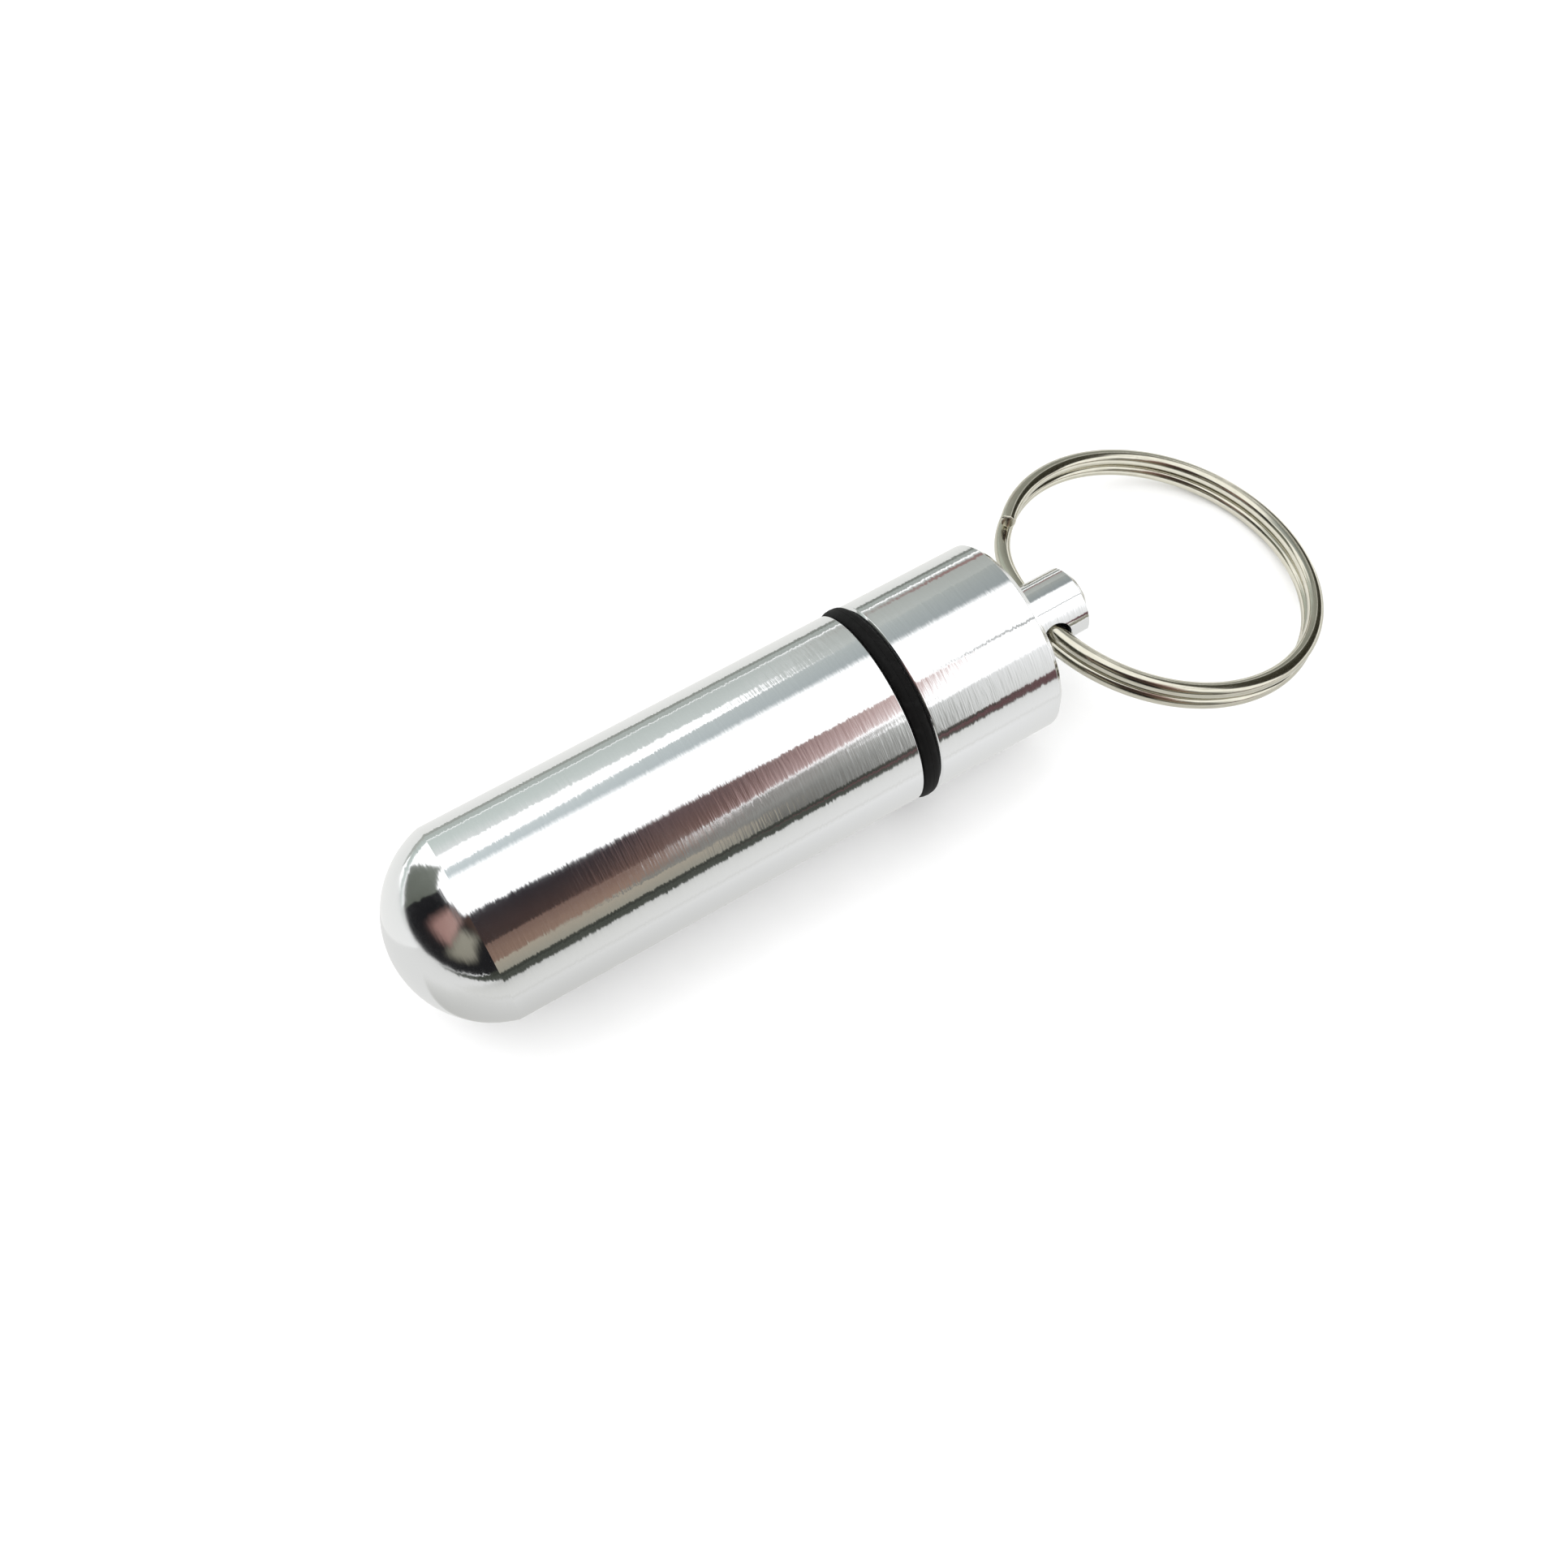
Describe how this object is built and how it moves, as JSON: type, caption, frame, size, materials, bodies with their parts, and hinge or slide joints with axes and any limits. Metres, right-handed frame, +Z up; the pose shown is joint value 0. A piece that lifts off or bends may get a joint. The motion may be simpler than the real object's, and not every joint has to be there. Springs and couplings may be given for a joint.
{
  "type": "pill fob keychain",
  "caption": "Capsule-shaped screw-top pill case of turned aluminium with a rubber seal, and a split key ring through a cross-drilled post on its cap.",
  "frame": {"origin": "middle of the object's box, on the surface that it lies on", "axes": "+X runs along the pill from the nose of the case to the split ring, +Z is up, away from the surface, and +Y completes the right-handed frame"},
  "size_m": [0.073, 0.0245, 0.0143],
  "materials": {
    "turned_aluminium": "fine turned and polished, bare metal",
    "black_rubber": "matt moulded rubber",
    "nickel_plated_steel": "bright nickel plate on flattened spring wire"
  },
  "bodies": {
    "case": {"case_body": "turned_aluminium"},
    "seal": {"o_ring": "black_rubber"},
    "cap": {"cap": "turned_aluminium"},
    "key_ring": {"split_ring": "nickel_plated_steel"}
  },
  "joints": [
    {"name": "cap_turn", "type": "hinge", "parent": "case", "child": "seal", "pos_m": [0.00009, 0, 0.00715], "axis": [1, 0, 0], "range_deg": [0, 2520]},
    {"name": "cap_rise", "type": "slide", "parent": "seal", "child": "cap", "axis": [1, 0, 0], "range_m": [0, 0.007]},
    {"name": "ring_swing", "type": "hinge", "parent": "cap", "child": "key_ring", "pos_m": [0.01324, 0, 0.00715], "axis": [0, 0.9877, -0.1564], "range_deg": [-160, 90]}
  ],
  "couplings": [
    {"joint": "cap_rise", "follows": "cap_turn", "m_per_rad": 0.00015915}
  ]
}
